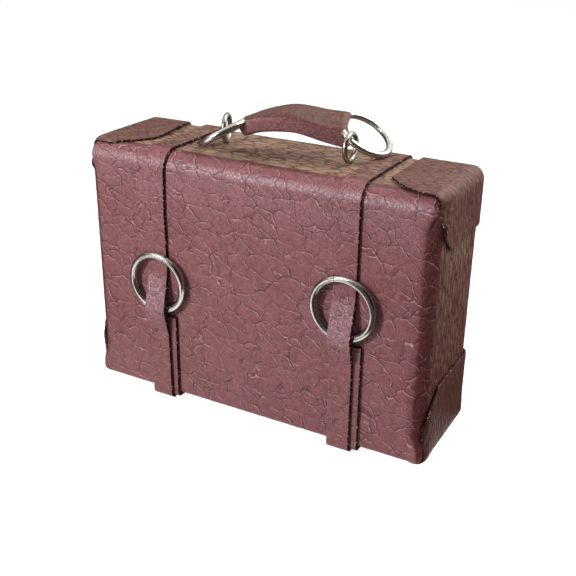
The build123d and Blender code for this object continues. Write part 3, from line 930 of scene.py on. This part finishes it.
def grip_piece(inset, along_steps, around_steps, inward=False):
    """The grip's form, inset all round, as rings of points from the left end to the right."""
    end_steps = 8
    ends = np.radians(np.linspace(90, 0, end_steps + 1))[:-1]
    shares = np.concatenate([np.zeros(end_steps), np.linspace(0, 1, along_steps), np.ones(end_steps)])
    beyond = np.concatenate([-np.sin(ends), np.zeros(along_steps), np.sin(ends)[::-1]])
    beyond *= grip_end - inset
    beyond[beyond > 0] *= grip_right_end / grip_end
    flat = np.concatenate([np.cos(ends), np.ones(along_steps), np.cos(ends)[::-1]])
    flat = np.maximum(flat, thinnest)
    rises, widths, thicknesses = [
        smooth_values(grip_shares, values, shares) for values in (grip_rises, grip_widths, grip_thicknesses)
    ]
    axis = (grip_right - grip_left).normalized()
    up = (Vector((0, 0, 1)) - axis * axis.z).normalized()
    side = axis.cross(up) * -1
    turns = np.radians(grip_turns[0] + (grip_turns[1] - grip_turns[0]) * shares)[:, None, None]
    axis, up, side = [np.array(v) for v in (axis, up, side)]
    across = side * np.cos(turns) + up * np.sin(turns)
    normal = up * np.cos(turns) - side * np.sin(turns)
    angle = np.linspace(0, 2 * pi, around_steps, endpoint=False)
    wide = np.sign(np.cos(angle)) * np.abs(np.cos(angle)) ** grip_squareness
    high = np.sign(np.sin(angle)) * np.abs(np.sin(angle)) ** grip_squareness
    u = wide * (widths[:, None] / 2 - inset)
    v = high * (thicknesses[:, None] / 2 - inset) * flat[:, None]
    sag = handle_ring_radius - np.sqrt(handle_ring_radius**2 - np.clip(np.abs(u), 0, 3.3) ** 2)
    left_pull = np.clip(1 - shares / bow_reach, 0, 1)[:, None] ** 2 * grip_bows[0]
    right_pull = np.clip(1 - (1 - shares) / bow_reach, 0, 1)[:, None] ** 2 * grip_bows[1]
    right_pull = right_pull * np.where(u < 0, front_bowed, 1.0)
    hang = np.where(v > 0, droop_above, 1.0) * np.clip(shares * 2 - 1, 0, 1)[:, None] ** 1.5
    v = v - grip_droop * np.clip(-u, 0, None) ** 2 * hang
    centres = np.array(grip_left) + np.array(grip_right - grip_left) * shares[:, None]
    centres[:, 2] += rises
    points = centres[:, None, :] + (beyond[:, None] + sag * (right_pull - left_pull))[:, :, None] * axis
    points = points + u[:, :, None] * across + v[:, :, None] * normal
    count, ring = len(shares), around_steps
    index = np.arange(count * ring).reshape(count, ring)
    following = np.roll(index, -1, axis=1)
    quads = np.stack([index[:-1], following[:-1], following[1:], index[1:]], axis=-1).reshape(-1, 4)
    faces = quads.tolist() + [index[0][::-1].tolist(), index[-1].tolist()]
    if inward:
        faces = [face[::-1] for face in faces]
    return points.reshape(-1, 3), faces


grip_leather, grip_gap = 0.3, 0.04
skin_points, skin_faces = grip_piece(0.0, 72, 104)
wall_points, wall_faces = grip_piece(grip_leather, 16, 24, True)
first_wall = len(skin_points)
wall_faces = [[i + first_wall for i in face] for face in wall_faces]
grip = new_piece("grip_leather", np.concatenate([skin_points, wall_points]), skin_faces + wall_faces)
grip_points = read_points(grip.data)
facing_up = read_vertices(grip.data, "normal")[:, 2]
# Painted shade: the grip's upward-facing side takes the darker, browner tones.
upper_side = rise(facing_up, 0.35, 0.95)
# Painted sheen: the grip's lower, front side gets the pale painted sheen.
lower_painted_sheen = 0.6 * (1 - rise(facing_up, -0.4, 0.4))
on_skin = np.arange(len(grip_points)) < first_wall
mark_leather(grip, grip_points, upper_side, 0.0, on_skin, lower_painted_sheen)
grip_front = (srgb(144, 90, 93), srgb(122, 70, 74))
grip_back = (srgb(108, 76, 66), srgb(94, 60, 54))
grip_shift, grip_grain = (5.0, 44.0, 61.0), 0.35
grip_material = leather_material("oxblood_leather_grip", grip_shift, grip_grain, grip_front, grip_back, 0.6)
press(grip, grip_material, grip_shift, grip_grain, 0.012)
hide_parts("grip_cover")
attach(grip, "handle")

filling = new_piece("grip_filling", *grip_piece(grip_leather + grip_gap, 16, 24))
filling_material, stuffing = new_material("leather_filling")
stuffing_place = stuffing.add("ShaderNodeTexCoord", output="Object")
stuffing_tone = stuffing.noise(stuffing_place, 2500.0, 3.0)
stuffing_colour = stuffing.mix(stuffing_tone, srgb(150, 108, 84), srgb(112, 78, 62))
stuffing_looks = {"Base Color": stuffing_colour, "Roughness": 0.85}
stuffing_skin = stuffing.add("ShaderNodeBsdfPrincipled", {}, stuffing_looks)
stuffing.add("ShaderNodeOutputMaterial", {}, {0: stuffing_skin})
filling.data.materials.append(filling_material)
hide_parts("grip_core")
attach(filling, "handle")


# Bright wire: the two rings on the straps, the two screw eyes and the two handle rings
# are bent from nickel-plated wire. Their ends butt together, and drawing lines run round.


def drawn_wire(name, centre, normal, tones):
    """Bright wire bent round a centre: fine dark drawing lines and dull spots run along it."""
    material, graph = new_material(name)
    normal = tuple(Vector(normal).normalized())
    place = graph.add("ShaderNodeTexCoord", output="Object")
    place = graph.vector("SUBTRACT", graph.vector("MULTIPLY", place, (1000.0,) * 3), tuple(centre))
    height = graph.vector("DOT_PRODUCT", place, normal, output=1)
    beside = graph.add("ShaderNodeVectorMath", {"operation": "SCALE"}, {0: normal, "Scale": height})
    radius = graph.vector("LENGTH", graph.vector("SUBTRACT", place, beside), output=1)
    along = graph.add("ShaderNodeVectorMath", {"operation": "SCALE"}, {0: place, "Scale": 0.22})
    across = graph.add("ShaderNodeCombineXYZ", {}, {0: radius * 7.0, 1: height * 7.0})
    lines = graph.noise(graph.vector("ADD", across, along), 1.0, 3.0, 0.6)
    dull = graph.noise(place, 0.9, 3.0, 0.6)
    colour = graph.mix(lines.rise(0.5, 0.62), *tones)
    colour = graph.mix(dull.rise(0.5, 0.75, 0.0, 0.5), colour, srgb(150, 143, 128))
    depth = lines * (0.04 * mm)
    bump = graph.add("ShaderNodeBump", {}, {"Strength": 1.0, "Distance": 1.0, "Height": depth})
    sockets = {"Base Color": colour, "Metallic": 1.0, "Roughness": dull * 0.15 + 0.12, "Normal": bump}
    metal = graph.add("ShaderNodeBsdfPrincipled", {}, sockets)
    graph.add("ShaderNodeOutputMaterial", {}, {0: metal})
    return material


# The middle of each bend, in millimetres, and the direction that it is bent round
wire_bends = {
    "left_strap_ring": ((-13.6, -7.9, 17.7), (0, -1, -0.034)),
    "right_strap_ring": ((14.0, -7.9, 20.3), (0, -1, -0.034)),
    "left_screw_eye": ((-8.1, 1.479, 37.72), (0.951, 0.309, 0)),
    "right_screw_eye": ((10.1, 1.029, 37.72), (1, 0, 0)),
    "left_handle_ring": ((-6.5, -1.671, 38.02), (-0.5, -0.03, 0.866)),
    "right_handle_ring": ((10.3, 4.879, 38.5), (0.539, -0.08, 0.839)),
}
ring_tones = (srgb(218, 216, 210), srgb(96, 92, 86))
eye_tones = (srgb(176, 172, 164), srgb(70, 64, 60))
for node, (centre, normal) in wire_bends.items():
    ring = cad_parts[node]
    ring.data.materials.clear()
    tones = eye_tones if "eye" in node else ring_tones
    ring.data.materials.append(drawn_wire("bright_wire_" + node, centre, normal, tones))
